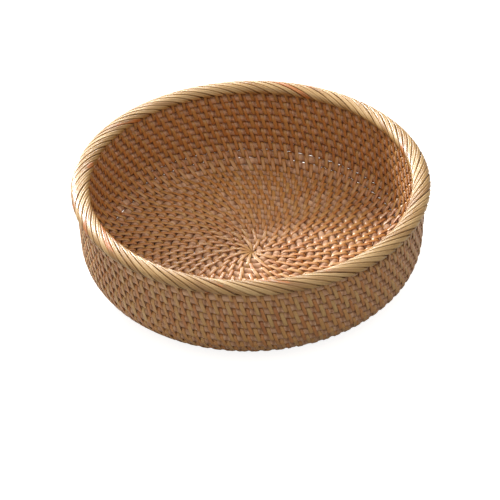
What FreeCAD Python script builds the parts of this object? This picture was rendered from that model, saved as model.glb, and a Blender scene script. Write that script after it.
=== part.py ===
import FreeCAD, Part
import Sketcher
import math
import os
from types import SimpleNamespace

# A round winnowing basket of coiled work.
#
# One long rod of round rattan core, spliced from six lengths, is coiled from the
# middle of the floor, round the corner and up the wall.  A flat strip of cane
# lashes each turn of the rod to the turn before it, and every stitch sits midway
# between two stitches of the next row.  The rim is two thin hoops, lashed to the
# top turn and then bound by six wide strands that run round them like a rope.
#
# Frame: millimetres, +Z up, the floor's underside on Z = 0, the basket's axis on Z.
# A place on the coil is a number of turns, counted from the coil's eye.

V = FreeCAD.Vector
FULL_TURN = 2 * math.pi

# Alias, value and meaning of every driving dimension (mm, degrees or a count).
SHEET_ROWS = [
    ("rim_outer_diameter", 220.0, "outside of the rim"),
    ("overall_height", 62.3, "table to the top of the rim"),
    ("rim_width", 10.4, "the rim's binding, across"),
    ("rim_depth", 6.9, "the rim's binding, top to bottom"),
    ("rod_diameter", 4.65, "round core of the coil"),
    ("row_pitch", 5.28, "from one turn of the coil to the next"),
    ("eye_radius", 4.8, "rod's centre line at the start of the coil"),
    ("floor_radius", 83.3, "rod's centre line where the floor starts to turn up"),
    ("corner_radius", 20.4, "rod's centre line round the corner"),
    ("wall_lean", 2.0, "wall's outward lean from upright"),
    ("strip_width", 2.1, "cane of the lashings"),
    ("strip_thickness", 0.45, "cane of the lashings"),
    ("stitch_slant", 13.0, "a stitch's lean from square across the rods"),
    ("stitches_round_rim", 84, "stitches in the top row"),
    ("stitch_spacing", 7.7, "aim, along the upper rod of a stitch"),
    ("hoop_diameter", 3.8, "each of the rim's two hoops"),
    ("hoop_gap", 0.1, "between the two hoops"),
    ("strand_count", 6, "strands that bind the rim"),
    ("strand_width", 2.9, "cane of the rim's binding"),
    ("strand_thickness", 0.55, "cane of the rim's binding"),
    ("coil_turns", 27, "turns of the coil, eye to rim"),
    ("inner_floor_turns", 10, "turns in the first length of rod"),
    ("floor_turns", 14.5, "turns in the first two lengths of rod, all flat"),
    ("first_level_turn", 15, "turn where the rows begin to be levelled"),
    ("level_after", 10, "turns that the levelling takes"),
    ("step_sector", 0.3, "part of a levelled turn that steps up to the next"),
]

ROD_LABELS = ["corner_coil_lower", "corner_coil_upper", "wall_coil_lower", "wall_coil_upper"]
LEVEL_SHIFT = 0.35          # rows, centres the levelling about the even spiral
TIP_RADIUS = 0.3            # mm, the rod's pared end under the rim
ROD_STEPS = 60              # straight lengths to a turn of a rising rod
STRAND_STEPS = 16           # points to a wrap on a strand's path
UPPER_EDGE_SHARE = 0.3      # widest stitch, as a share of the spacing on its upper rod
INNER_EDGE_SHARE = 0.9      # widest stitch, as a share of the spacing at its inner end
STEEP_UNDERNEATH = 0.4      # 0 to 1, crosses the hoops steeply below and not above
ALONG_THE_SIDES = 0.35      # 0 to 1, runs along the rim at its inner and outer sides
STRAND_END_GAP = 0.01       # wraps left free at each end of a rim strand
TURN_NUDGE = 0.001          # turns, for the direction of a path
WRAP_NUDGE = 0.002          # wraps, for the direction of a strand

# Where a sketch's geometry is drawn before its constraints move it (mm).
DRAWN_ACROSS, DRAWN_UP, DRAWN_DIAMETER = 50, 5, 4
DRAWN_OFFSET, DRAWN_RADIUS = 1.0, 10.0


def make_sheet(doc):
    """Spreadsheet with one aliased cell for each driving dimension."""
    sheet = doc.addObject("Spreadsheet::Sheet", "sizes")
    for row, (alias, value, meaning) in enumerate(SHEET_ROWS, start=1):
        sheet.set(f"A{row}", meaning)
        sheet.set(f"B{row}", str(value))
        sheet.setAlias(f"B{row}", alias)
    doc.recompute()
    return sheet


def read_sizes(sheet):
    """The sheet's values, with the few lengths that follow from them."""
    size = SimpleNamespace(**{alias: float(getattr(sheet, alias)) for alias, _, _ in SHEET_ROWS})
    size.rod_radius = size.rod_diameter / 2
    size.rod_height = size.rod_radius + size.strip_thickness
    size.corner_angle = math.radians(90 - size.wall_lean)
    size.floor_length = size.floor_radius - size.eye_radius
    size.corner_length = size.corner_radius * size.corner_angle
    size.rim_radius = size.rim_outer_diameter / 2 - size.rim_width / 2
    size.rim_height = size.overall_height - size.rim_depth / 2
    size.hoop_offset = (size.hoop_diameter + size.hoop_gap) / 2
    return size


# ---------------------------------------------------------------- the coil's path

def point_on_profile(size, length):
    """(radius, height) of a rod's centre, that far along the basket's section."""
    if length < size.floor_length:
        return size.eye_radius + length, size.rod_height
    centre_height = size.rod_height + size.corner_radius
    angle = min((length - size.floor_length) / size.corner_radius, size.corner_angle)
    radius = size.floor_radius + size.corner_radius * math.sin(angle)
    height = centre_height - size.corner_radius * math.cos(angle)
    rest = max(0.0, length - size.floor_length - size.corner_length)
    return radius + rest * math.cos(angle), height + rest * math.sin(angle)


def step_up(size, part):
    """0 to 1 through a turn: level at first, then a smooth step up to the next row."""
    rise = max(0.0, (part - 1 + size.step_sector) / size.step_sector)
    return rise * rise * (3 - 2 * rise)


def half_circles(part):
    """0 to 1 through a turn: two half circles whose centres lie either side of the axis."""
    swing = math.cos(FULL_TURN * part) / 4
    return 0.25 - swing if part < 0.5 else 0.75 + swing


def row_length(size, turn):
    """Length along the section at a place on the coil.

    The floor's coil is half circles of growing radius; higher up, the rows are
    levelled little by little, so that the rim sits level on the top one.
    """
    weight = min(1.0, max(0.0, (turn - size.first_level_turn) / size.level_after))
    whole = math.floor(turn)
    part = turn - whole
    spiral = half_circles(part)
    levelled = weight * (step_up(size, part) - spiral + LEVEL_SHIFT)
    off_axis = size.row_pitch / 4 * math.sin(FULL_TURN * part)
    sag = off_axis ** 2 / (2 * (size.eye_radius + size.row_pitch * turn))
    return size.row_pitch * (whole + spiral + levelled) - sag


def rod_at(size, turn):
    """((radius, height), rod radius) at a place on the coil; the last step is pared."""
    top_turn = size.coil_turns - 1
    if turn <= top_turn + 1 - size.step_sector:
        return point_on_profile(size, row_length(size, turn)), size.rod_radius
    room = size.row_pitch * (1 - step_up(size, turn - top_turn)) - size.strip_thickness
    pared = max(TIP_RADIUS, min(size.rod_radius, room / 2))
    top_row = row_length(size, top_turn)
    return point_on_profile(size, top_row + size.rod_radius - pared), pared


def tip_turn(size):
    """Place on the coil where the pared rod has thinned to its tip."""
    turn = size.coil_turns - size.step_sector
    while rod_at(size, turn)[1] > TIP_RADIUS:
        turn += TURN_NUDGE
    return turn


def point_at(centre, turn):
    """Point in space at (radius, height), at the angle of a place on the coil."""
    radius, height = centre
    angle = FULL_TURN * turn
    return V(radius * math.cos(angle), radius * math.sin(angle), height)


# ---------------------------------------------------------------- the rods

def origin_plane(body, role):
    """One of a body's own origin planes."""
    return [item for item in body.Origin.OriginFeatures if item.Role == role][0]


def round_section(body, name, radius_from, height_from, diameter_from):
    """Sketch of a circle in the XZ plane, its place and size bound to expressions."""
    sketch = body.newObject("Sketcher::SketchObject", name)
    sketch.AttachmentSupport = [(origin_plane(body, "XZ_Plane"), "")]
    sketch.MapMode = "FlatFace"
    drawn = Part.Circle(V(DRAWN_ACROSS, DRAWN_UP, 0), V(0, 0, 1), DRAWN_DIAMETER / 2)
    circle = sketch.addGeometry(drawn, False)
    origin, centre = (-1, 1), (circle, 3)
    sketch.addConstraint(Sketcher.Constraint("DistanceX", *origin, *centre, DRAWN_ACROSS))
    sketch.addConstraint(Sketcher.Constraint("DistanceY", *origin, *centre, DRAWN_UP))
    sketch.addConstraint(Sketcher.Constraint("Diameter", circle, DRAWN_DIAMETER))
    bindings = (("across", radius_from), ("up", height_from), ("diameter", diameter_from))
    for index, (constraint, expression) in enumerate(bindings):
        sketch.renameConstraint(index, constraint)
        sketch.setExpression(f"Constraints.{constraint}", expression)
    return sketch


def spiral_path(body, name, radius_from, half_turns):
    """Sketch of half circles end to end, each with its ends and centre on the X axis."""
    sketch = body.newObject("Sketcher::SketchObject", name)
    sketch.AttachmentSupport = [(origin_plane(body, "XY_Plane"), "")]
    sketch.MapMode = "FlatFace"
    sketch.setExpression("AttachmentOffset.Base.z", "sizes.rod_diameter / 2 + sizes.strip_thickness")
    origin, x_axis = (-1, 1), -1
    for number in range(half_turns):
        side = -1 if number % 2 == 0 else 1
        start_angle = 0 if number % 2 == 0 else math.pi
        drawn_radius = DRAWN_RADIUS + 2 * DRAWN_OFFSET * number
        circle = Part.Circle(V(side * DRAWN_OFFSET, 0, 0), V(0, 0, 1), drawn_radius)
        arc = sketch.addGeometry(Part.ArcOfCircle(circle, start_angle, start_angle + math.pi), False)
        start, end, centre = (arc, 1), (arc, 2), (arc, 3)
        sketch.addConstraint(Sketcher.Constraint("PointOnObject", *centre, x_axis))
        sketch.addConstraint(Sketcher.Constraint("PointOnObject", *end, x_axis))
        ends = (centre, origin) if side < 0 else (origin, centre)
        index = sketch.addConstraint(Sketcher.Constraint("DistanceX", *ends[0], *ends[1], DRAWN_OFFSET))
        sketch.setExpression(f"Constraints[{index}]", "sizes.row_pitch / 4")
        if number:
            sketch.addConstraint(Sketcher.Constraint("Coincident", arc - 1, 2, *start))
        else:
            sketch.addConstraint(Sketcher.Constraint("PointOnObject", *start, x_axis))
            reach = DRAWN_RADIUS - DRAWN_OFFSET
            index = sketch.addConstraint(Sketcher.Constraint("DistanceX", *origin, *start, reach))
            sketch.setExpression(f"Constraints[{index}]", radius_from)
    return sketch


def floor_coil(doc, label, radius_from, half_turns):
    """A length of rod coiled flat: a round section swept along the coil's path."""
    body = doc.addObject("PartDesign::Body", label)
    body.Label = label
    height_from = "sizes.rod_diameter / 2 + sizes.strip_thickness"
    section = round_section(body, f"{label}_section", radius_from, height_from, "sizes.rod_diameter")
    path = spiral_path(body, f"{label}_path", radius_from, half_turns)
    coil = body.newObject("PartDesign::AdditivePipe", f"{label}_pipe")
    coil.Profile = section
    coil.Spine = (path, [f"Edge{number + 1}" for number in range(half_turns)])
    return body


def rim_hoop(doc, label, radius_from):
    """One of the rim's hoops: a round section revolved about the basket's axis."""
    body = doc.addObject("PartDesign::Body", label)
    body.Label = label
    height_from = "sizes.overall_height - sizes.rim_depth / 2"
    section = round_section(body, f"{label}_section", radius_from, height_from, "sizes.hoop_diameter")
    ring = body.newObject("PartDesign::Revolution", f"{label}_ring")
    ring.Profile = section
    ring.ReferenceAxis = (section, ["V_Axis"])
    ring.Angle = 360
    return body


def cross_section(size, turn):
    """Round wire square across the rod at a place on the coil."""
    centre, radius = rod_at(size, turn)
    ahead = point_at(rod_at(size, turn + TURN_NUDGE)[0], turn + TURN_NUDGE)
    here = point_at(centre, turn)
    return Part.Wire([Part.Circle(here, ahead - here, radius).toShape()])


def even_steps(start, end, per_turn):
    """Places from start to end, that many to a turn."""
    count = max(2, math.ceil((end - start) * per_turn))
    return [start + (end - start) * step / count for step in range(count + 1)]


def rising_rod(size, start, end):
    """A length of rod round the corner or up the wall, in short straight lengths."""
    places = even_steps(start, end, ROD_STEPS)
    return Part.makeLoft([cross_section(size, place) for place in places], True, True)


# ---------------------------------------------------------------- the stitches

def belt(circles, clearance):
    """Closed wire drawn tight round circles given in turning order, at a clearance.

    Each circle is ((x, y), radius).  Between two circles the wire is straight, and
    round each circle it is an arc.
    """
    normals = []
    for (here, radius), (there, next_radius) in zip(circles, circles[1:] + circles[:1]):
        across = V(there[0] - here[0], there[1] - here[1], 0)
        along = V(across).normalize()
        lean = (radius - next_radius) / across.Length
        normals.append(along * lean + V(along.y, -along.x, 0) * math.sqrt(1 - lean * lean))
    edges = []
    for index, ((x, y), radius) in enumerate(circles):
        arriving, leaving = normals[index - 1], normals[index]
        turned = math.atan2(arriving.cross(leaving).z, arriving.dot(leaving)) % FULL_TURN
        halfway = FreeCAD.Rotation(V(0, 0, 1), math.degrees(turned / 2)).multVec(arriving)
        reach = radius + clearance
        ends = [V(x, y, 0) + way * reach for way in (arriving, halfway, leaving)]
        edges.append(Part.Arc(*ends).toShape())
        (next_x, next_y), next_radius = circles[(index + 1) % len(circles)]
        landing = V(next_x, next_y, 0) + leaving * (next_radius + clearance)
        edges.append(Part.LineSegment(ends[2], landing).toShape())
    return Part.Wire(edges)


def stitch(size, circles, middle, along, outward, turn, width):
    """One wrap of cane round rods, as a closed band that leans by the stitch slant.

    The circles are (radius, height) places in the basket's section.  along and
    outward are the section's own directions: along from the lower row to the upper
    one, outward from the inside of the basket to its outside.
    """
    local = []
    for (radius, height), rod_radius in circles:
        offset = (radius - middle[0], height - middle[1])
        x = offset[0] * along[0] + offset[1] * along[1]
        y = offset[0] * outward[0] + offset[1] * outward[1]
        local.append(((x, y), rod_radius))
    ring = Part.makeFace([belt(local, size.strip_thickness), belt(local, 0.0)], "Part::FaceMakerBullseye")
    band = ring.extrude(V(0, 0, width))
    band.translate(V(0, 0, -width / 2))
    band.rotate(V(0, 0, 0), V(0, 1, 0), size.stitch_slant)
    angle = FULL_TURN * turn
    x_axis = V(along[0] * math.cos(angle), along[0] * math.sin(angle), along[1])
    y_axis = V(outward[0] * math.cos(angle), outward[0] * math.sin(angle), outward[1])
    turned = FreeCAD.Rotation(x_axis, y_axis, x_axis.cross(y_axis), "XYZ")
    band.Placement = FreeCAD.Placement(point_at(middle, turn), turned).multiply(band.Placement)
    return band


def coil_stitch(size, turn, spacing):
    """The wrap that lashes the rod to the turn before it at a place on the coil."""
    upper, upper_radius = rod_at(size, turn)
    lower, lower_radius = rod_at(size, turn - 1)
    across = (upper[0] - lower[0], upper[1] - lower[1])
    length = math.hypot(*across)
    along = (across[0] / length, across[1] / length)
    outward = (along[1], -along[0])
    middle = ((upper[0] + lower[0]) / 2, (upper[1] + lower[1]) / 2)
    inner_edge = lower[0] - along[0] * (lower_radius + size.strip_thickness)
    room = min(UPPER_EDGE_SHARE * upper[0], INNER_EDGE_SHARE * inner_edge) * spacing
    width = min(size.strip_width, room)
    circles = [(lower, lower_radius), (upper, upper_radius)]
    return stitch(size, circles, middle, along, outward, turn, width)


def stitch_places(size):
    """Places of all stitches, found row by row from the rim back to the coil's eye.

    The top row is even.  Each stitch of the row before sits midway between two
    stitches, and one is left out each time the smaller circle has crowded them by a
    whole stitch.
    """
    count = int(size.stitches_round_rim)
    places = [size.coil_turns - (number + 0.5) / count for number in range(count)]
    index = 0
    crowding = 0.0
    while places[-1] > 1:
        later, earlier = places[index], places[index + 1]
        arc = FULL_TURN * rod_at(size, later - 1)[0][0]
        crowding = max(-1.0, crowding + 1 - arc * (later - earlier) / size.stitch_spacing)
        index += 1
        if crowding >= 1:
            crowding -= arc * (earlier - places[index + 1]) / size.stitch_spacing
            earlier = places[index + 1]
            index += 1
        places.append((later + earlier) / 2 - 1)
    return sorted(place for place in places if 1 <= place < tip_turn(size))


def lashing_rows(size):
    """The coil's stitches in lists, one list for each turn of the coil."""
    places = stitch_places(size)
    rows = {}
    for index, place in enumerate(places):
        beside = places[index - 1] if index else 2 * place - places[1]
        spacing = FULL_TURN * (place - beside)
        rows.setdefault(math.floor(place) + 1, []).append(coil_stitch(size, place, spacing))
    return rows


def rim_stitches(size):
    """The wraps that lash both hoops to the coil's top turn."""
    count = int(size.stitches_round_rim)
    stitches = []
    for number in range(count):
        turn = size.coil_turns - 1 + number / count
        top, top_radius = rod_at(size, turn)
        if top_radius < size.rod_radius / 2:
            top, top_radius = rod_at(size, turn - 1)
        hoops = [
            ((size.rim_radius + side * size.hoop_offset, size.rim_height), size.hoop_diameter / 2)
            for side in (-1, 1)
        ]
        middle = (size.rim_radius, (top[1] + size.rim_height) / 2)
        circles = [(top, top_radius)] + hoops
        stitches.append(stitch(size, circles, middle, (0, 1), (1, 0), turn, size.strip_width))
    return stitches


# ---------------------------------------------------------------- the rim's binding

def strand_advance(part):
    """Share of a wrap's way round the rim, against its way round the hoops.

    The strand crosses steeply underneath, and runs at a shallow angle over the rim.
    """
    once = math.sin(FULL_TURN * part) / FULL_TURN
    twice = math.sin(2 * FULL_TURN * part) / (2 * FULL_TURN)
    return part - STEEP_UNDERNEATH * once - ALONG_THE_SIDES * twice


def strand_point(size, strand, wraps):
    """Centre and outward direction of a strand, that many wraps from its start."""
    half_width = (size.rim_width - size.strand_thickness) / 2
    half_depth = (size.rim_depth - size.strand_thickness) / 2
    whole = math.floor(wraps)
    around = FULL_TURN * (wraps - whole)
    out, up = -half_width * math.sin(around), -half_depth * math.cos(around)
    stitches = strand + 0.5 + size.strand_count * (whole + strand_advance(wraps - whole))
    turn = stitches / size.stitches_round_rim
    centre = point_at((size.rim_radius + out, size.rim_height + up), turn)
    lean = V(out / half_width ** 2, up / half_depth ** 2, 0).normalize()
    angle = FULL_TURN * turn
    outward = V(lean.x * math.cos(angle), lean.x * math.sin(angle), lean.y)
    return centre, outward


def strand_corners(size, strand, wraps):
    """The four corners of a strand's flat section at a place along it."""
    ends = (wraps - WRAP_NUDGE, wraps + WRAP_NUDGE)
    before, after = (strand_point(size, strand, end)[0] for end in ends)
    centre, outward = strand_point(size, strand, wraps)
    sideways = (after - before).cross(outward).normalize() * (size.strand_width / 2)
    lift = outward * (size.strand_thickness / 2)
    outer = [centre + sideways + lift, centre - sideways + lift]
    inner = [centre - sideways - lift, centre + sideways - lift]
    return outer + inner


def rim_strand(size, strand):
    """One strand of the rim's binding, wound round both hoops all the way round."""
    wraps = int(size.stitches_round_rim / size.strand_count)
    faces = []
    for wrap in range(wraps):
        start = max(wrap, STRAND_END_GAP)
        end = min(wrap + 1, wraps - STRAND_END_GAP)
        places = even_steps(start, end, STRAND_STEPS)
        corners = [strand_corners(size, strand, place) for place in places]
        edges = []
        for corner in range(4):
            curve = Part.BSplineCurve()
            curve.interpolate(Points=[group[corner] for group in corners], Parameters=places)
            edges.append(curve.toShape())
        faces += [Part.makeRuledSurface(edges[side], edges[(side + 1) % 4]) for side in range(4)]
        if wrap == 0:
            faces.append(Part.Face(Part.makePolygon(corners[0] + corners[0][:1])))
        if wrap == wraps - 1:
            faces.append(Part.Face(Part.makePolygon(corners[-1] + corners[-1][:1])))
    skin = Part.Compound(faces)
    skin.sewShape()
    solid = Part.Solid(skin.Shells[0])
    if solid.Volume < 0:
        solid.reverse()
    return solid


# ---------------------------------------------------------------- the document

def add_feature(doc, label, shape):
    """Document object for a piece whose shape no sketch or primitive can give."""
    feature = doc.addObject("Part::Feature", label)
    feature.Label = label
    feature.Shape = shape
    feature.Placement = FreeCAD.Placement()
    return feature


def build(doc):
    """Every piece of the basket, as (label, object) pairs."""
    size = read_sizes(make_sheet(doc))
    inner_turns = size.inner_floor_turns
    outer_from = "sizes.eye_radius + sizes.inner_floor_turns * sizes.row_pitch"
    pieces = [
        floor_coil(doc, "floor_coil_inner", "sizes.eye_radius", int(2 * inner_turns)),
        floor_coil(doc, "floor_coil_outer", outer_from, int(2 * (size.floor_turns - inner_turns))),
    ]
    step = (tip_turn(size) - size.floor_turns) / len(ROD_LABELS)
    for number, label in enumerate(ROD_LABELS):
        start = size.floor_turns + number * step
        pieces.append(add_feature(doc, label, rising_rod(size, start, start + step)))
    for row, stitches in lashing_rows(size).items():
        pieces.append(add_feature(doc, f"lashing_row_{row:02d}", Part.Compound(stitches)))
    pieces.append(add_feature(doc, "rim_lashing", Part.Compound(rim_stitches(size))))
    hoop_offset = "(sizes.hoop_diameter + sizes.hoop_gap) / 2"
    hoop_middle = "(sizes.rim_outer_diameter - sizes.rim_width) / 2"
    pieces.append(rim_hoop(doc, "rim_hoop_outer", f"{hoop_middle} + {hoop_offset}"))
    pieces.append(rim_hoop(doc, "rim_hoop_inner", f"{hoop_middle} - {hoop_offset}"))
    for strand in range(int(size.strand_count)):
        pieces.append(add_feature(doc, f"rim_strand_{strand + 1}", rim_strand(size, strand)))
    doc.recompute()
    return pieces


def check(doc, pieces):
    """Stop if any object failed or any piece isn't a valid solid."""
    for item in doc.Objects:
        if {"Invalid", "Error"} & set(item.State):
            raise RuntimeError(f"{item.Label} failed: {item.State}")
    for piece in pieces:
        shape = piece.Shape
        if shape.isNull() or not shape.isValid() or not shape.Solids:
            raise RuntimeError(f"{piece.Label} has no valid solid")


def main():
    doc = FreeCAD.newDocument("winnowing_basket")
    pieces = build(doc)
    check(doc, pieces)
    os.makedirs("parts", exist_ok=True)
    for piece in pieces:
        piece.Shape.exportStep(os.path.join("parts", f"{piece.Label}.step"))
        print(f"{piece.Label}: {len(piece.Shape.Solids)} solid(s), {piece.Shape.Volume:.0f} mm3")


main()
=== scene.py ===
import math

import bpy
import numpy as np
from mathutils import Matrix, Vector


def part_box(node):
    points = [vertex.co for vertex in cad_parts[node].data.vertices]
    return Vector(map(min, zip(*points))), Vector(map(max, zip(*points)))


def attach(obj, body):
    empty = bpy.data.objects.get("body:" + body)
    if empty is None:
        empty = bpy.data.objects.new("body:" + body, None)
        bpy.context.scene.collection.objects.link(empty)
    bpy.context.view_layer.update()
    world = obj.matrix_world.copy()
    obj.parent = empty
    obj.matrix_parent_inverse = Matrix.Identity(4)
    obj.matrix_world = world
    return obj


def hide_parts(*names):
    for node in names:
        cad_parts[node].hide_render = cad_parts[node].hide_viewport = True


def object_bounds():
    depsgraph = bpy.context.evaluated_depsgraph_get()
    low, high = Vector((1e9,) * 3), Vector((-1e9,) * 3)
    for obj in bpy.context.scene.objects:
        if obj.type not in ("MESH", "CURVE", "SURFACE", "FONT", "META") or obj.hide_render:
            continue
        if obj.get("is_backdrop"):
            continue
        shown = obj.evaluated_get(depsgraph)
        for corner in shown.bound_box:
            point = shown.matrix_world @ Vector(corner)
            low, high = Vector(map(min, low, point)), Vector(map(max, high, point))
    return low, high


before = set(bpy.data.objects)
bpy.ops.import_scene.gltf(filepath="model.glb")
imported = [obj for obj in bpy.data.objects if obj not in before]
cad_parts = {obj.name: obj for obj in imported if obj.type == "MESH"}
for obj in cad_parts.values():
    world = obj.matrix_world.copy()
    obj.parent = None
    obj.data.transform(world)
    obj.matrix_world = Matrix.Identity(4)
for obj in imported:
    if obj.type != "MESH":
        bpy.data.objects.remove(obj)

# A round winnowing basket of coiled rattan.
#
# Every CAD node has one piece here that stands for it: the rods of the coil, the
# strips that lash each turn to the one before, and the hoops and strands of the rim.
# The lashings are wound as continuous strips, as on the real basket, where the CAD
# has closed bands.  Shapes are worked out in millimetres and built in metres.
# A place on the coil is a number of turns, counted from the coil's eye.

MM = 0.001
FULL_TURN = 2 * math.pi
size_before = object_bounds()
random = np.random.default_rng(7)

# ---------------------------------------------------------------- sizes, mm

ROD_RADIUS = 2.325
ROW_PITCH = 5.28
EYE_RADIUS = 4.8
FLOOR_RADIUS = 83.3
CORNER_RADIUS = 20.4
CORNER_ANGLE = math.radians(88)
STRIP_THICKNESS = 0.45          # the lashings' cane in the CAD
STRIP_WIDTHS = (2.6, 2.25)      # in even rows, in odd rows
RIM_STRIP_WIDTH = 2.1
STITCHES_ROUND_RIM = 84
STITCH_SPACING = 7.7
HOOP_RADIUS = 1.9
STRAND_COUNT = 6
STRAND_WIDTH = 2.75
STRAND_THICKNESS = 0.55         # the strands' cane in the CAD
STRAND_DEPTH = 0.85             # the strands' crowned cane as it stands up on the rim
CANE_THICKNESS = 0.64           # the lashings' cane as it stands up on the rods
FILLER_RADIUS = 1.3             # thin core between the top turn and the rim's strands
COIL_TURNS = 27                 # eye to rim
FLOOR_TURNS = 14.5              # in the first two lengths of rod, all flat
INNER_FLOOR_TURNS = 10          # in the first length of rod
RISING_LENGTHS = 4              # of rod, from the floor to the rim
FIRST_LEVEL_TURN = 15           # where the rows begin to be levelled
LEVEL_AFTER = 10                # turns that the levelling takes
STEP_SECTOR = 0.3               # part of a levelled turn that steps up to the next
LEVEL_SHIFT = 0.35              # rows, centres the levelling about the even spiral
TIP_RADIUS = 0.3                # the rod's pared end under the rim
TIP_SEARCH_STEP = 0.001         # turns
ROD_HEIGHT = ROD_RADIUS + STRIP_THICKNESS
FLOOR_LENGTH = FLOOR_RADIUS - EYE_RADIUS

# How finely the pieces are built.
ROD_RING_SPACING = 1.7
ROD_SIDES = 16
SEARCH_STEPS_PER_TURN = 400
SAMPLES_PER_WRAP = 26
STRAND_SAMPLES = 44
HULL_DIRECTIONS = 49
FIBRE_SHIFT = 500               # mm, the most by which a piece's grain is moved along it


def hoop_place(node):
    """(radius, height) of a hoop's centre line, from its CAD node, mm."""
    low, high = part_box(node)
    return high.x / MM - HOOP_RADIUS, (low.z + high.z) / 2 / MM


OUTER_HOOP = hoop_place("rim_hoop_outer")
INNER_HOOP = hoop_place("rim_hoop_inner")
RIM_RADIUS = (OUTER_HOOP[0] + INNER_HOOP[0]) / 2
RIM_HEIGHT = OUTER_HOOP[1]
RIM_HALF_WIDTH = size_before[1].x / MM - RIM_RADIUS - STRAND_THICKNESS / 2
RIM_HALF_DEPTH = size_before[1].z / MM - RIM_HEIGHT - STRAND_THICKNESS / 2


# ---------------------------------------------------------------- the coil's path

def profile(length):
    """(radius, height) arrays, that far along the basket's section."""
    angle = np.clip((length - FLOOR_LENGTH) / CORNER_RADIUS, 0, CORNER_ANGLE)
    rest = np.maximum(0, length - FLOOR_LENGTH - CORNER_RADIUS * CORNER_ANGLE)
    flat = np.minimum(length, FLOOR_LENGTH)
    radius = EYE_RADIUS + flat + CORNER_RADIUS * np.sin(angle) + rest * math.cos(CORNER_ANGLE)
    height = ROD_HEIGHT + CORNER_RADIUS * (1 - np.cos(angle)) + rest * math.sin(CORNER_ANGLE)
    return radius, height


def smooth(value):
    """Smooth step from 0 to 1."""
    value = np.clip(value, 0, 1)
    return value * value * (3 - 2 * value)


def step_up(part):
    """0 to 1 through a turn: level at first, then a smooth step up to the next row."""
    return smooth((part - 1 + STEP_SECTOR) / STEP_SECTOR)


def row_length(turn):
    """Length along the section at places on the coil, as in the CAD."""
    weight = np.clip((turn - FIRST_LEVEL_TURN) / LEVEL_AFTER, 0, 1)
    whole = np.floor(turn)
    part = turn - whole
    swing = np.cos(FULL_TURN * part) / 4
    spiral = np.where(part < 0.5, 0.25 - swing, 0.75 + swing)
    levelled = weight * (step_up(part) - spiral + LEVEL_SHIFT)
    off_axis = ROW_PITCH / 4 * np.sin(FULL_TURN * part)
    sag = off_axis ** 2 / (2 * (EYE_RADIUS + ROW_PITCH * turn))
    return ROW_PITCH * (whole + spiral + levelled) - sag


# The rod's pared start: places before 0, with the rod's distance from the axis and its radius.
EYE_START = -1.0
EYE_CURL = ([-1.0, -0.75, -0.5, -0.25, 0.0], [0.8, 1.4, 2.3, 3.6, EYE_RADIUS])
EYE_PARED = ([-1.0, -0.75, -0.5, -0.25, 0.0], [0.5, 0.8, 1.2, 1.7, ROD_RADIUS])

# A circle of the section (radius, height, size) that row 2's strip is drawn round, in the eye.
EYE_CIRCLE = (1.5, ROD_HEIGHT + 0.2, 1.0)


def rod_at(turn):
    """Array of (radius, height, rod radius) at places on the coil.

    Places before 0 are the rod's pared start, curled up in the eye.
    """
    turn = np.asarray(turn, float)
    top_turn = COIL_TURNS - 1.0
    room = ROW_PITCH * (1 - step_up(turn - top_turn)) - STRIP_THICKNESS
    paring = turn > COIL_TURNS - STEP_SECTOR
    rod = np.where(paring, np.clip(room / 2, TIP_RADIUS, ROD_RADIUS), ROD_RADIUS)
    pared_length = row_length(np.full_like(turn, top_turn)) + ROD_RADIUS - rod
    radius, height = profile(np.where(paring, pared_length, row_length(np.maximum(turn, 0))))
    radius = np.where(turn < 0, np.interp(turn, *EYE_CURL), radius)
    rod = np.where(turn < 0, np.interp(turn, *EYE_PARED), rod)
    height = np.where(turn < 0, height - ROD_RADIUS + rod, height)
    return np.stack([radius, height, rod], axis=-1)


def tip_turn():
    """Place on the coil where the pared rod has thinned to its tip."""
    turns = np.arange(COIL_TURNS - STEP_SECTOR, COIL_TURNS, TIP_SEARCH_STEP)
    return turns[np.argmax(rod_at(turns)[:, 2] <= TIP_RADIUS)]


def stitch_places(last):
    """Places of all stitches, found row by row from the rim back to the coil's eye."""
    places = [COIL_TURNS - (number + 0.5) / STITCHES_ROUND_RIM for number in range(STITCHES_ROUND_RIM)]
    index = 0
    crowding = 0.0
    while places[-1] > 1:
        later, earlier = places[index], places[index + 1]
        arc = FULL_TURN * float(rod_at(later - 1)[0])
        crowding = max(-1.0, crowding + 1 - arc * (later - earlier) / STITCH_SPACING)
        index += 1
        if crowding >= 1:
            crowding -= arc * (earlier - places[index + 1]) / STITCH_SPACING
            earlier = places[index + 1]
            index += 1
        places.append((later + earlier) / 2 - 1)
    return np.array(sorted(place for place in places if 1 <= place < last))


TIP_TURN = tip_turn()
PLACES = stitch_places(TIP_TURN)


# ---------------------------------------------------------------- mesh tools

def in_space(section, turn):
    """Points of the basket's section, turned to their places round the axis."""
    angle = FULL_TURN * np.asarray(turn)
    radius, height = section[..., 0], section[..., 1]
    return np.stack([radius * np.cos(angle), radius * np.sin(angle), height], axis=-1)


def unit(vectors):
    """The vectors' directions, each with a length of 1."""
    return vectors / np.linalg.norm(vectors, axis=-1, keepdims=True)


def travelled(points):
    """Distance along a path to each of its points."""
    steps = np.linalg.norm(np.diff(points, axis=0), axis=1)
    return np.concatenate([[0.0], np.cumsum(steps)])


def wander(count, reach, spacing):
    """A smooth random wander: one value for each of count points, within about reach."""
    knots = random.normal(0, reach, max(4, int(count / spacing) + 3))
    return np.interp(np.arange(count), np.linspace(0, count, len(knots)), knots)


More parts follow.
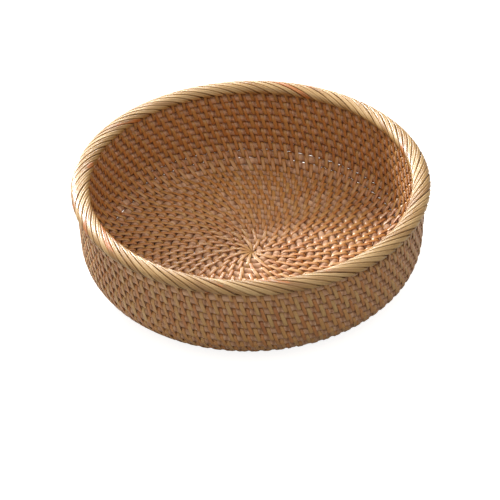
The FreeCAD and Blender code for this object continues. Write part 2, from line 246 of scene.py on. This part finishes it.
def tube(name, rings, along, across, point_values, closed):
    """Mesh object from rings of points (count, sides, 3) in mm.

    along and across are mm along the fibre and across it, for the materials, and
    point_values maps an attribute's name to one value for each ring and side.
    """
    count, sides, _ = rings.shape
    spans = count if closed else count - 1
    i, j = np.meshgrid(np.arange(spans), np.arange(sides), indexing="ij")
    next_i, next_j = (i + 1) % count, (j + 1) % sides
    here, beyond = i * sides, next_i * sides
    corners = np.stack([here + j, here + next_j, beyond + next_j, beyond + j], axis=-1)
    end_along = np.append(along[1:], along[-1] + along[1] - along[0]) if closed else along[1:]
    u = np.stack([along[i], along[i], end_along[i], end_along[i]], axis=-1)
    far = np.where(next_j > j, next_j, sides)
    v = np.stack([across[i, j], across[i, far], across[next_i, far], across[next_i, j]], axis=-1)
    quads = corners.reshape(-1, 4)
    points = rings.reshape(-1, 3) * MM
    turned = facing_in(rings, quads) if closed else rough_volume(points, quads) < 0
    if turned:
        quads, u, v = quads[:, ::-1], u[..., ::-1], v[..., ::-1]
    loops, starts = quads.ravel(), np.arange(len(quads)) * 4
    fibre = np.stack([u.ravel(), v.ravel()], axis=-1)
    if not closed:
        loops, starts, fibre = with_caps(rings, quads, loops, starts, fibre)
    mesh = bpy.data.meshes.new(name)
    mesh.vertices.add(len(points))
    mesh.vertices.foreach_set("co", points.astype(np.float32).ravel())
    mesh.loops.add(len(loops))
    mesh.loops.foreach_set("vertex_index", loops.astype(np.int32))
    mesh.polygons.add(len(starts))
    mesh.polygons.foreach_set("loop_start", starts.astype(np.int32))
    mesh.update(calc_edges=True)
    mesh.polygons.foreach_set("use_smooth", np.ones(len(starts), bool))
    layer = mesh.uv_layers.new(name="fibre")
    layer.data.foreach_set("uv", fibre.astype(np.float32).ravel())
    for attribute, values in point_values.items():
        values = np.broadcast_to(values, (count, sides)).astype(np.float32).ravel()
        mesh.attributes.new(attribute, "FLOAT", "POINT").data.foreach_set("value", values)
    piece = bpy.data.objects.new(name, mesh)
    bpy.context.scene.collection.objects.link(piece)
    return piece


def rough_volume(points, quads):
    """A volume inside an open tube, from half of each face; below 0 its faces are turned round.

    It is too rough for the rim's strands: it is above 0 there, though their faces point in.
    """
    a, b, c = (points[quads[:, column]] for column in range(3))
    return np.einsum("ij,ij->i", a, np.cross(b, c)).sum()


def facing_in(rings, quads):
    """True if a closed tube's faces point to the inside of the tube."""
    points = rings.reshape(-1, 3)
    a, b, c, d = (points[quads[:, column]] for column in range(4))
    normals = np.cross(c - a, d - b)
    centres = rings.mean(axis=1)[quads[:, 0] // rings.shape[1]]
    return np.einsum("ij,ij->i", normals, (a + c) / 2 - centres).sum() < 0


def with_caps(rings, quads, loops, starts, fibre):
    """The same faces with one more face to close each end."""
    count, sides, _ = rings.shape
    first = np.arange(sides)
    last = first + (count - 1) * sides
    forward = quads[0, 1] == (quads[0, 0] + 1) % sides
    first, last = (first[::-1], last) if forward else (first, last[::-1])
    starts = np.concatenate([starts, [len(loops), len(loops) + sides]])
    loops = np.concatenate([loops, first, last])
    fibre = np.concatenate([fibre, np.zeros((2 * sides, 2))])
    return loops, starts, fibre


def stand_for(piece, node, material):
    """Finish a piece: it takes the place of its CAD node, if it has one."""
    piece.data.materials.append(material)
    if node:
        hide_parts(node)
    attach(piece, "root")


# ---------------------------------------------------------------- the rods

SWELL_BETWEEN = 0.14            # least swelling between stitches, as a share of the radius
SWELL_MOST = 0.26
CLOSE_UP = 1.01                 # 1 makes neighbouring turns just touch
PINCH_REACH = 1.0               # mm along the rod, either side of a stitch
ROD_UNEVEN, ROD_UNEVEN_RINGS = 0.012, 9
CORE_TONES = (0.35, 0.65)
CORE_TONE_WANDER, CORE_TONE_RINGS = 0.12, 40


def swell_to_touch(turns):
    """How much the coil's rod swells between stitches, to close up with its neighbours."""
    here, after, before = (rod_at(turns + step)[:, :2] for step in (0, 1, -1))
    apart = np.where(turns + 1 < TIP_TURN, np.linalg.norm(after - here, axis=1), 0)
    apart = np.maximum(apart, np.where(turns > 1, np.linalg.norm(here - before, axis=1), 0))
    return np.clip(apart * CLOSE_UP / (2 * ROD_RADIUS) - 1, SWELL_BETWEEN, SWELL_MOST)


def round_rod(name, centre_of, start, end, stitches, closed=False):
    """A rod along a path, slightly uneven, and pinched where the stitches hold it."""
    fine = np.linspace(start, end, int((end - start) * SEARCH_STEPS_PER_TURN) + 2)
    spaced = travelled(in_space(centre_of(fine), fine))
    count = int(spaced[-1] / ROD_RING_SPACING)
    turns = np.interp(np.linspace(0, spaced[-1], count + 1), spaced, fine)
    turns = turns[:-1] if closed else turns
    section = centre_of(turns).copy()
    count = len(turns)
    middle = in_space(section, turns)
    along = travelled(middle)
    right = np.searchsorted(stitches, turns).clip(1, len(stitches) - 1)
    nearest = np.minimum(np.abs(turns - stitches[right - 1]), np.abs(stitches[right] - turns))
    nearest = nearest * FULL_TURN * section[:, 0]
    pinch = np.exp(-(nearest / PINCH_REACH) ** 2)
    if closed:
        swell = np.ones(count)
    else:
        swell = 1 + swell_to_touch(turns) * (1 - pinch) + wander(count, ROD_UNEVEN, ROD_UNEVEN_RINGS)
    radial = in_space(np.stack([np.ones(count), np.zeros(count)], axis=-1), turns)
    tangent = unit(np.cross([0, 0, 1.0], radial) if closed else np.gradient(middle, axis=0))
    side = unit(radial - tangent * np.einsum("ij,ij->i", radial, tangent)[:, None])
    up = np.cross(tangent, side)
    angle = np.linspace(0, FULL_TURN, ROD_SIDES, endpoint=False)
    cosine, sine = np.cos(angle)[None, :, None], np.sin(angle)[None, :, None]
    reach = (section[:, 2] * swell)[:, None, None]
    rings = middle[:, None, :] + reach * (side[:, None, :] * cosine + up[:, None, :] * sine)
    across = np.outer(section[:, 2], np.linspace(0, FULL_TURN, ROD_SIDES + 1))
    tone = np.interp(along, [0, along[-1]], random.uniform(*CORE_TONES, 2))
    tone = tone + wander(count, CORE_TONE_WANDER, CORE_TONE_RINGS)
    # edge holds the pinch, which the core material turns into painted shade under the stitches
    values = {"tone": tone[:, None], "edge": pinch[:, None]}
    return tube(name, rings, along + random.uniform(0, FIBRE_SHIFT), across, values, closed)


# ---------------------------------------------------------------- the strips

# Section of a cane strip: (half widths across, thicknesses above its middle).
STRIP_SECTION = [
    (-1.0, -0.08),
    (-0.86, 0.32),
    (-0.42, 0.47),
    (0.0, 0.5),
    (0.42, 0.47),
    (0.86, 0.32),
    (1.0, -0.08),
    (0.82, -0.46),
    (-0.82, -0.46),
]

# Section of a rim strand: two canes side by side, with a groove between them.
STRAND_SECTION = [
    (-1.0, -0.3),
    (-0.9, 0.16),
    (-0.58, 0.44),
    (-0.22, 0.42),
    (-0.04, 0.28),
    (0.12, 0.4),
    (0.52, 0.46),
    (0.88, 0.14),
    (1.0, -0.3),
    (0.8, -0.48),
    (-0.8, -0.48),
]


def ribbon(name, outline, middle, normal, half_width, thickness, tone, tilt, closed=False):
    """A flat strip of cane along a path, its skin side towards the normal."""
    along = travelled(middle)
    if closed:
        around = np.concatenate([middle[-1:], middle, middle[:1]])
        tangent = unit(around[2:] - around[:-2])
    else:
        tangent = unit(np.gradient(middle, axis=0))
    side = unit(np.cross(tangent, normal))
    lift = np.cross(side, tangent)
    tilt = np.asarray(tilt)[:, None]
    side, lift = unit(side + lift * tilt), unit(lift - side * tilt)
    shape = np.array(outline)
    across = half_width[:, None] * shape[None, :, 0]
    rings = middle[:, None, :] + side[:, None, :] * across[..., None]
    rings = rings + lift[:, None, :] * (thickness * shape[None, :, 1, None])
    across = np.concatenate([across, across[:, :1]], axis=1)
    edge = np.abs(shape[None, :, 0])
    values = {"tone": tone[:, None], "edge": edge}
    return tube(name, rings, along + random.uniform(0, FIBRE_SHIFT), across, values, closed)


def belt(circles, along, outward, share, clearance):
    """Points of a band drawn tight round circles, and the band's outward directions.

    circles is (count, circles, radius height rod radius), along and outward are the
    section's own directions, and share is the part of the way round, from the top
    of the upper rod over the outside and back up the inside.
    """
    angle = np.linspace(0, FULL_TURN, HULL_DIRECTIONS)[None, :, None]
    ways = np.cos(angle) * along[:, None, :] + np.sin(angle) * outward[:, None, :]
    reach = np.einsum("ndx,nkx->ndk", ways, circles[:, :, :2]) + circles[:, None, :, 2]
    best = reach.argmax(axis=2)
    chosen = np.take_along_axis(circles, best[:, :, None], axis=1)
    outline = chosen[:, :, :2] + ways * (chosen[:, :, 2:] + clearance)
    steps = np.linalg.norm(np.diff(outline, axis=1), axis=2)
    reached = np.concatenate([np.zeros((len(share), 1)), np.cumsum(steps, axis=1)], axis=1)
    wanted = share * reached[:, -1]
    index = (reached <= wanted[:, None]).sum(axis=1).clip(1, HULL_DIRECTIONS - 1)
    row = np.arange(len(share))
    before, after = reached[row, index - 1], reached[row, index]
    part = ((wanted - before) / (after - before))[:, None]
    point = outline[row, index - 1] * (1 - part) + outline[row, index] * part
    way = ways[row, index - 1] * (1 - part) + ways[row, index] * part
    return point, unit(way)


def directions(lower, upper):
    """The section's own directions for a stitch: along from lower to upper, and outward."""
    along = unit(upper[:, :2] - lower[:, :2])
    return along, np.stack([along[:, 1], -along[:, 0]], axis=-1)


ROW_TONES = (0.25, 0.68)         # in even rows, in odd rows
INSIDE_BOUNCE_TONE = 0.62              # the strips' inner sides are more alike, and warmer: painted warm bounce light from inside the bowl
INSIDE_BOUNCE_BLEND = 0.6
STITCH_JITTER = 0.16            # mm along the rod
WIDTH_UNEVEN = 0.045
TILT_UNEVEN = 0.06
EYE_WIDTH_SHARE = 0.9           # widest stitch, as a share of the room it has near the eye
LENGTH_TONE, STITCH_TONE = 0.10, 0.09
STITCHES_TO_A_LENGTH = 9        # before a strip of another colour is spliced in


def row_lashing(row):
    """The strip of one row, wound round its rod and the rod of the row before."""
    indices = np.flatnonzero(np.floor(PLACES) == row - 1)
    wraps = len(indices)
    steps = np.linspace(0, wraps, wraps * SAMPLES_PER_WRAP + 1)
    known = np.arange(len(PLACES))
    place = np.interp(indices[0] + steps, known, PLACES)
    share = steps - np.floor(steps)
    upper, lower = rod_at(place), rod_at(place - 1)
    shift = np.interp(steps, np.arange(wraps + 1), random.normal(0, STITCH_JITTER, wraps + 1))
    shift = shift / (FULL_TURN * np.maximum(upper[:, 0], 3 * ROW_PITCH))
    along, outward = directions(lower, upper)
    clearance = CANE_THICKNESS / 2
    held = [lower, upper] + ([np.tile(EYE_CIRCLE, (len(place), 1))] if row == 2 else [])
    section, way = belt(np.stack(held, axis=1), along, outward, share, clearance)
    middle = in_space(section, place + shift)
    normal = in_space(way, place + shift)
    spacing = FULL_TURN * np.gradient(PLACES)
    room = EYE_WIDTH_SHARE * np.interp(indices[0] + steps, known, spacing) * section[:, 0]
    uneven = np.interp(steps, np.arange(wraps + 1), random.normal(1, WIDTH_UNEVEN, wraps + 1))
    half_width = np.minimum(STRIP_WIDTHS[row % 2] * uneven, room) / 2
    tilt = np.interp(steps, np.arange(wraps + 1), random.normal(0, TILT_UNEVEN, wraps + 1))
    tone = strip_tone(row, steps)
    # painted warm bounce light: the side of each wrap that faces into the bowl is blended towards one
    # warmer tone
    inside = (1 - np.sin(FULL_TURN * share)) / 2
    tone = tone + INSIDE_BOUNCE_BLEND * inside * (INSIDE_BOUNCE_TONE - tone)
    name = f"lashing_{row:02d}"
    return ribbon(name, STRIP_SECTION, middle, normal, half_width, CANE_THICKNESS, tone, tilt)


def strip_tone(row, steps):
    """0 golden to 1 orange brown: rows alternate, and so does each length of strip."""
    base = ROW_TONES[row % 2]
    wraps = int(steps[-1]) + 1
    lengths = random.normal(0, LENGTH_TONE, wraps // STITCHES_TO_A_LENGTH + 2)
    lengths = np.repeat(lengths, STITCHES_TO_A_LENGTH)[:wraps + 1]
    stitches = random.normal(0, STITCH_TONE, wraps + 1) + lengths
    return base + np.interp(steps, np.arange(wraps + 1), stitches)


# Where the rim's lashing steps down from the rod's pared tip to the turn below it, in turns.
STEP_DOWN_BEFORE_TIP = 0.10
STEP_DOWN_OVER = 0.08


def rim_lashing():
    """The strip that lashes both hoops to the coil's top turn."""
    wraps = STITCHES_ROUND_RIM
    steps = np.linspace(0, wraps, wraps * SAMPLES_PER_WRAP, endpoint=False)
    place = COIL_TURNS - 1 + steps / wraps
    share = steps - np.floor(steps)
    stepped_down = smooth((place - TIP_TURN + STEP_DOWN_BEFORE_TIP) / STEP_DOWN_OVER)[:, None]
    top = rod_at(place) * (1 - stepped_down) + rod_at(place - 1) * stepped_down
    hoops = [np.tile([*hoop, HOOP_RADIUS], (len(place), 1)) for hoop in (INNER_HOOP, OUTER_HOOP)]
    along = np.tile([0.0, 1.0], (len(place), 1))
    outward = np.tile([1.0, 0.0], (len(place), 1))
    clearance = CANE_THICKNESS / 2
    section, way = belt(np.stack([top, *hoops], axis=1), along, outward, share, clearance)
    half_width = np.full(len(place), RIM_STRIP_WIDTH / 2)
    tone = strip_tone(0, steps)
    tilt = np.zeros(len(place))
    middle, normal = in_space(section, place), in_space(way, place)
    shape = (STRIP_SECTION, middle, normal, half_width, CANE_THICKNESS)
    return ribbon("rim_lashing_strip", *shape, tone, tilt, closed=True)


# ---------------------------------------------------------------- the rim's strands

STEEP_UNDERNEATH = 0.74         # 0 to 1, crosses the hoops steeply below and not above
STRAND_END_GAP = 0.01           # wraps left free at each end
STRAND_JITTER = 0.25            # mm along the rim
STRAND_JITTERS_A_WRAP = 3
STRAND_WIDTH_WANDER, STRAND_WIDTH_SAMPLES = 0.085, 12
STRAND_TILT_WANDER, STRAND_TILT_SAMPLES = 0.05, 15
STRAND_TONE, STRAND_TONE_SPREAD, STRAND_TONE_WANDER = 0.45, 0.08, 0.28
ORANGE_STRAND, ORANGE_WRAP, ORANGE_REACH = 3, 2.55, 0.3     # one stretch is darker orange
ORANGE_TONE = 2


def rim_strand(strand):
    """One strand of the rim's binding, wound round both hoops all the way round."""
    wraps = STITCHES_ROUND_RIM // STRAND_COUNT
    steps = np.linspace(STRAND_END_GAP, wraps - STRAND_END_GAP, wraps * STRAND_SAMPLES)
    around = FULL_TURN * steps
    advance = steps - STEEP_UNDERNEATH * np.sin(around) / FULL_TURN
    knots = random.normal(0, STRAND_JITTER, STRAND_JITTERS_A_WRAP * wraps)
    jitter = np.interp(steps, np.linspace(0, wraps, len(knots)), knots)
    place = (strand + STRAND_COUNT * advance) / STITCHES_ROUND_RIM + jitter / (FULL_TURN * RIM_RADIUS)
    out = -RIM_HALF_WIDTH * np.sin(around)
    up = -RIM_HALF_DEPTH * np.cos(around)
    section = np.stack([RIM_RADIUS + out, RIM_HEIGHT + up], axis=-1)
    lean = unit(np.stack([out / RIM_HALF_WIDTH ** 2, up / RIM_HALF_DEPTH ** 2], axis=-1))
    uneven = wander(len(steps), STRAND_WIDTH_WANDER, STRAND_WIDTH_SAMPLES)
    half_width = STRAND_WIDTH / 2 * (1 + uneven)
    tone = random.normal(STRAND_TONE, STRAND_TONE_SPREAD)
    tone = tone + wander(len(steps), STRAND_TONE_WANDER, STRAND_SAMPLES / 3)
    if strand == ORANGE_STRAND:
        tone = tone + ORANGE_TONE * np.exp(-((steps - ORANGE_WRAP) / ORANGE_REACH) ** 4)
    tilt = wander(len(steps), STRAND_TILT_WANDER, STRAND_TILT_SAMPLES)
    middle, normal = in_space(section, place), in_space(lean, place)
    name = f"rim_wrap_{strand + 1}"
    return ribbon(name, STRAND_SECTION, middle, normal, half_width, STRAND_DEPTH, tone, tilt)


# ---------------------------------------------------------------- materials

class Nodes:
    """A material's node tree with short ways to add nodes and join them."""

    def __init__(self, name):
        self.material = bpy.data.materials.new(name)
        self.material.use_nodes = True
        self.tree = self.material.node_tree
        self.surface = self.tree.nodes["Principled BSDF"]

    def add(self, kind, settings=None, **inputs):
        """A node with its settings, and values or sockets for its inputs."""
        node = self.tree.nodes.new(kind)
        for key, value in (settings or {}).items():
            setattr(node, key, value)
        for key, value in inputs.items():
            self.put(node, key.replace("_", " "), value)
        return node

    def put(self, node, key, value):
        """Set or join one input, by its name or, as i0, i1 and so on, by its number."""
        numbered = key[0] == "i" and key[1:].isdigit()
        socket = node.inputs[int(key[1:]) if numbered else key]
        if isinstance(value, bpy.types.NodeSocket):
            self.tree.links.new(value, socket)
        else:
            socket.default_value = value

    def maths(self, operation, first, second=0.0):
        """Sum, difference or product of two values."""
        return self.add("ShaderNodeMath", {"operation": operation}, i0=first, i1=second).outputs[0]

    def mapped(self, value, low, high, to_low, to_high):
        """The value, with low to high stretched to to_low to to_high."""
        node = self.add("ShaderNodeMapRange", None, Value=value, From_Min=low, From_Max=high)
        self.put(node, "To Min", to_low)
        self.put(node, "To Max", to_high)
        return node.outputs[0]

    def attribute(self, name):
        """A value that the mesh holds for each of its points."""
        return self.add("ShaderNodeAttribute", {"attribute_name": name}).outputs["Fac"]

    def fibre(self, along, across):
        """The fibre's own coordinates, stretched along and across it."""
        uv = self.add("ShaderNodeUVMap", {"uv_map": "fibre"}).outputs[0]
        return self.add("ShaderNodeMapping", None, Vector=uv, Scale=(along, across, 1.0)).outputs[0]

    def noise(self, vector, scale=1.0, detail=3.0, roughness=0.55):
        """Noise with values from 0 to 1."""
        inputs = {"Vector": vector, "Scale": scale, "Detail": detail, "Roughness": roughness}
        return self.add("ShaderNodeTexNoise", None, **inputs).outputs["Fac"]

    def ramp(self, value, stops):
        """Colour ramp: stops are (position, colour)."""
        node = self.add("ShaderNodeValToRGB", None, Fac=value)
        elements = node.color_ramp.elements
        while len(elements) < len(stops):
            elements.new(0.5)
        for element, (position, colour) in zip(elements, stops):
            element.position = position
            element.color = (*colour, 1.0)
        return node.outputs["Color"]

    def mix(self, blend, amount, first, second):
        """Two colours blended, the second by an amount from 0 to 1."""
        node = self.add("ShaderNodeMix", {"data_type": "RGBA", "blend_type": blend})
        self.put(node, "i0", amount)
        for index, value in ((6, first), (7, second)):
            self.put(node, f"i{index}", (*value, 1.0) if isinstance(value, tuple) else value)
        return node.outputs[2]


def cane(name, stops, dark, gloss, grain_depth):
    """Split cane: a glossy skin with lengthwise grain, darker at its cut edges.

    gloss is the skin's least roughness, and grain_depth is in mm.
    """
    nodes = Nodes(name)
    tone = nodes.attribute("tone")
    edge = nodes.attribute("edge")
    grain = nodes.noise(nodes.fibre(0.16, 4.5), detail=4.0)
    fine = nodes.noise(nodes.fibre(0.5, 14.0), detail=2.0)
    blotch = nodes.noise(nodes.fibre(0.05, 0.25), detail=2.0)
    spread = nodes.maths("MULTIPLY", nodes.maths("SUBTRACT", blotch, 0.5), 0.9)
    colour = nodes.ramp(nodes.maths("ADD", tone, spread), stops)
    streak = nodes.mapped(grain, 0.3, 0.7, 0.0, 1.0)
    colour = nodes.mix("MULTIPLY", nodes.mapped(streak, 0.0, 1.0, 0.55, 0.0), colour, dark)
    colour = nodes.mix("MULTIPLY", nodes.mapped(fine, 0.35, 0.62, 0.35, 0.0), colour, dark)
    # the strip's cut sides and the edges of its underside are darker
    darker_sides = nodes.mapped(edge, 0.72, 1.0, 0.0, 0.6)
    colour = nodes.mix("MULTIPLY", darker_sides, colour, dark)
    stain = nodes.mapped(nodes.noise(nodes.fibre(0.11, 0.5), detail=5.0), 0.66, 0.74, 0.0, 0.5)
    colour = nodes.mix("MULTIPLY", stain, colour, dark)
    height = nodes.maths("ADD", grain, nodes.maths("MULTIPLY", fine, 0.5))
    bump = nodes.add("ShaderNodeBump", None, Strength=0.8, Distance=grain_depth * MM, Height=height)
    surface = nodes.surface
    nodes.put(surface, "Base Color", colour)
    nodes.put(surface, "Roughness", nodes.mapped(grain, 0.3, 0.7, gloss + 0.16, gloss))
    nodes.put(surface, "Specular IOR Level", 0.5)
    nodes.put(surface, "Coat Weight", 0.6)
    nodes.put(surface, "Coat Roughness", 0.27)
    nodes.put(surface, "Normal", bump.outputs[0])
    return nodes.material


def core(name, stops, dark):
    """Round rattan core: matt and porous, with long fibres, and painted shade where the stitches pinch
    it.
    """
    nodes = Nodes(name)
    tone = nodes.attribute("tone")
    pinch = nodes.attribute("edge")
    grain = nodes.noise(nodes.fibre(0.22, 5.0), detail=5.0, roughness=0.65)
    pores = nodes.noise(nodes.fibre(0.9, 9.0), detail=3.0)
    blotch = nodes.noise(nodes.fibre(0.04, 0.2), detail=3.0)
    spread = nodes.maths("MULTIPLY", nodes.maths("SUBTRACT", blotch, 0.5), 1.3)
    colour = nodes.ramp(nodes.maths("ADD", tone, spread), stops)
    colour = nodes.mix("MULTIPLY", nodes.mapped(grain, 0.35, 0.62, 0.5, 0.0), colour, dark)
    colour = nodes.mix("MULTIPLY", nodes.mapped(pores, 0.55, 0.7, 0.0, 0.5), colour, dark)
    # painted shade: the rod is darkened where the stitches pinch it
    colour = nodes.mix("MULTIPLY", nodes.maths("MULTIPLY", pinch, 0.9), colour, dark)
    height = nodes.maths("ADD", grain, nodes.maths("MULTIPLY", pores, 0.6))
    bump = nodes.add("ShaderNodeBump", None, Strength=0.9, Distance=0.09 * MM, Height=height)
    surface = nodes.surface
    nodes.put(surface, "Base Color", colour)
    nodes.put(surface, "Roughness", nodes.mapped(grain, 0.3, 0.7, 0.75, 0.55))
    nodes.put(surface, "Sheen Weight", 0.15)
    nodes.put(surface, "Sheen Roughness", 0.5)
    nodes.put(surface, "Normal", bump.outputs[0])
    return nodes.material


# Colours for tones from 0 to 1.
LASHING_STOPS = [
    (0.0, (0.64, 0.43, 0.17)),
    (0.35, (0.62, 0.35, 0.11)),
    (0.65, (0.60, 0.27, 0.068)),
    (1.0, (0.45, 0.165, 0.04)),
]
RIM_STOPS = [
    (0.0, (0.62, 0.45, 0.21)),
    (0.5, (0.49, 0.315, 0.11)),
    (0.96, (0.35, 0.185, 0.05)),
    (1.0, (0.52, 0.19, 0.03)),
]
CORE_STOPS = [
    (0.0, (0.80, 0.56, 0.37)),
    (0.5, (0.72, 0.47, 0.29)),
    (1.0, (0.58, 0.35, 0.20)),
]

# What the grain, the cut edges and the painted shade at the pinched places are multiplied by.
LASHING_DARK = (0.42, 0.24, 0.12)
RIM_DARK = (0.50, 0.32, 0.15)
CORE_DARK = (0.45, 0.29, 0.20)

lashing_material = cane("cane_lashing", LASHING_STOPS, LASHING_DARK, gloss=0.36, grain_depth=0.06)
rim_material = cane("cane_rim", RIM_STOPS, RIM_DARK, gloss=0.34, grain_depth=0.07)
core_material = core("rattan_core", CORE_STOPS, CORE_DARK)


# ---------------------------------------------------------------- the pieces

def build_rods():
    """The coil's six lengths of rod, each over the same turns as its CAD node."""
    names = ["floor_coil_inner", "floor_coil_outer", "corner_coil_lower", "corner_coil_upper"]
    names += ["wall_coil_lower", "wall_coil_upper"]
    rising = np.linspace(FLOOR_TURNS, TIP_TURN, RISING_LENGTHS + 1)
    ends = [EYE_START, INNER_FLOOR_TURNS, *rising]
    held = np.sort(np.concatenate([PLACES, PLACES - 1]))
    for node, start, end in zip(names, ends, ends[1:]):
        piece = round_rod(f"{node}_rod", rod_at, start, end, held)
        stand_for(piece, node, core_material)


def level_ring(circle):
    """The path of a ring that keeps to one circle of the section all the way round."""
    return lambda turns: np.tile(circle, (len(turns), 1))


def build_hoops():
    """The rim's two hoops, under the strands, and the thin filler that beds them on the coil."""
    held = np.arange(-1, STITCHES_ROUND_RIM + 2) / STITCHES_ROUND_RIM
    top_of_coil = rod_at(COIL_TURNS - 1.0)
    filler = (RIM_RADIUS, top_of_coil[1] + ROD_RADIUS + FILLER_RADIUS, FILLER_RADIUS)
    rings = [
        ("hoop_outer", "rim_hoop_outer", (*OUTER_HOOP, HOOP_RADIUS)),
        ("hoop_inner", "rim_hoop_inner", (*INNER_HOOP, HOOP_RADIUS)),
        ("rim_filler", None, filler),
    ]
    for name, node, circle in rings:
        piece = round_rod(name, level_ring(circle), 0.0, 1.0, held, closed=True)
        stand_for(piece, node, core_material)


def build_lashings():
    """The strips of every row, and of the rim."""
    for row in range(2, COIL_TURNS + 1):
        stand_for(row_lashing(row), f"lashing_row_{row:02d}", lashing_material)
    stand_for(rim_lashing(), "rim_lashing", lashing_material)


def build_strands():
    """The strands that bind the rim."""
    for strand in range(STRAND_COUNT):
        stand_for(rim_strand(strand), f"rim_strand_{strand + 1}", rim_material)


# ---------------------------------------------------------------- stage, light and camera

FLOOR_SIZE = 6.0                # m
FLOOR_COLOUR = (0.48, 0.47, 0.45, 1.0)
ROOM_COLOUR = (1.0, 0.935, 0.86, 1.0)
SKY_LOW, SKY_HIGH = 0.17, 1.22  # brightness of the room near the floor and overhead
FLOOR_GLOW = 0.86               # keeps the floor near white to the camera, and lights nothing
BACKDROP = 1.3                  # the room behind the floor, as the camera sees it
LIGHT_DISTANCE = 1.5            # m
AIM_HEIGHT = 27.5 * MM
CAMERA_ELEVATION = math.radians(36.99)
CAMERA_ROLL = math.radians(-1.24)
CAMERA_DISTANCE = 1.367         # m
CAMERA_LENS = 157.8             # mm
AIM_BELOW = math.radians(0.72433)
AIM_LEFT = math.radians(0.03922577)


def build_floor(height):
    """A plain pale floor."""
    half = FLOOR_SIZE / 2
    corners = [(x, y, height) for x, y in ((-half, -half), (half, -half), (half, half), (-half, half))]
    mesh = bpy.data.meshes.new("studio_floor")
    mesh.from_pydata(corners, [], [(0, 1, 2, 3)])
    floor = bpy.data.objects.new("studio_floor", mesh)
    bpy.context.scene.collection.objects.link(floor)
    nodes = Nodes("studio_floor")
    seen = nodes.add("ShaderNodeLightPath").outputs["Is Camera Ray"]
    nodes.put(nodes.surface, "Base Color", FLOOR_COLOUR)
    nodes.put(nodes.surface, "Roughness", 0.9)
    nodes.put(nodes.surface, "Emission Color", (1.0, 1.0, 1.0, 1.0))
    nodes.put(nodes.surface, "Emission Strength", nodes.maths("MULTIPLY", seen, FLOOR_GLOW))
    mesh.materials.append(nodes.material)
    floor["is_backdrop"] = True


def build_lights():
    """Two soft lights from behind, the stronger from the left, in a bright room."""
    world = bpy.data.worlds.new("studio")
    world.use_nodes = True
    tree = world.node_tree
    background = tree.nodes["Background"]
    background.inputs["Color"].default_value = ROOM_COLOUR
    way = tree.nodes.new("ShaderNodeTexCoord")
    split = tree.nodes.new("ShaderNodeSeparateXYZ")
    rise = tree.nodes.new("ShaderNodeMapRange")
    ends = {"From Min": 0.1, "From Max": 0.9, "To Min": SKY_LOW, "To Max": SKY_HIGH}
    for key, value in ends.items():
        rise.inputs[key].default_value = value
    tree.links.new(way.outputs["Generated"], split.inputs[0])
    tree.links.new(split.outputs["Z"], rise.inputs["Value"])
    seen = tree.nodes.new("ShaderNodeLightPath")
    pick = tree.nodes.new("ShaderNodeMix")
    pick.inputs["B"].default_value = BACKDROP
    tree.links.new(seen.outputs["Is Camera Ray"], pick.inputs["Factor"])
    tree.links.new(rise.outputs[0], pick.inputs["A"])
    tree.links.new(pick.outputs[0], background.inputs["Strength"])
    bpy.context.scene.world = world
    add_light("key", azimuth=130, elevation=29, side=0.22, watts=36, colour=(1.0, 0.96, 0.91))
    add_light("window", azimuth=98, elevation=30, side=0.4, watts=8, colour=(1.0, 0.98, 0.96))


def add_light(name, azimuth, elevation, side, watts, colour):
    """A square light that looks at the basket, from an azimuth and elevation in degrees."""
    light = bpy.data.lights.new(name, "AREA")
    light.size = side
    light.energy = watts
    light.color = colour
    lamp = bpy.data.objects.new(name, light)
    around, above = math.radians(azimuth), math.radians(elevation)
    flat = math.cos(above)
    way = Vector((math.cos(around) * flat, math.sin(around) * flat, math.sin(above)))
    lamp.location = way * LIGHT_DISTANCE
    lamp.rotation_euler = way.to_track_quat("Z", "Y").to_euler()
    bpy.context.scene.collection.objects.link(lamp)
    lamp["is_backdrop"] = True


def build_camera():
    """A camera in front of the basket that looks down into the bowl."""
    camera = bpy.data.cameras.new("camera")
    camera.lens = CAMERA_LENS
    camera.sensor_width = 36
    camera.clip_end = 20
    viewer = bpy.data.objects.new("camera", camera)
    back = Vector((0, -math.cos(CAMERA_ELEVATION), math.sin(CAMERA_ELEVATION)))
    right = Vector((1, 0, 0))
    up = back.cross(right)
    right, up = (
        right * math.cos(CAMERA_ROLL) + up * math.sin(CAMERA_ROLL),
        up * math.cos(CAMERA_ROLL) - right * math.sin(CAMERA_ROLL),
    )
    turned = Matrix((right, up, back)).transposed().to_4x4()
    aim = Matrix.Rotation(-AIM_BELOW, 4, "X") @ Matrix.Rotation(AIM_LEFT, 4, "Y")
    place = Vector((0, 0, AIM_HEIGHT)) + back * CAMERA_DISTANCE
    viewer.matrix_world = Matrix.Translation(place) @ turned @ aim
    bpy.context.scene.collection.objects.link(viewer)
    bpy.context.scene.camera = viewer
    bpy.context.scene.view_settings.view_transform = "Standard"


build_rods()
build_hoops()
build_lashings()
build_strands()
build_floor(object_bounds()[0].z)
build_lights()
build_camera()
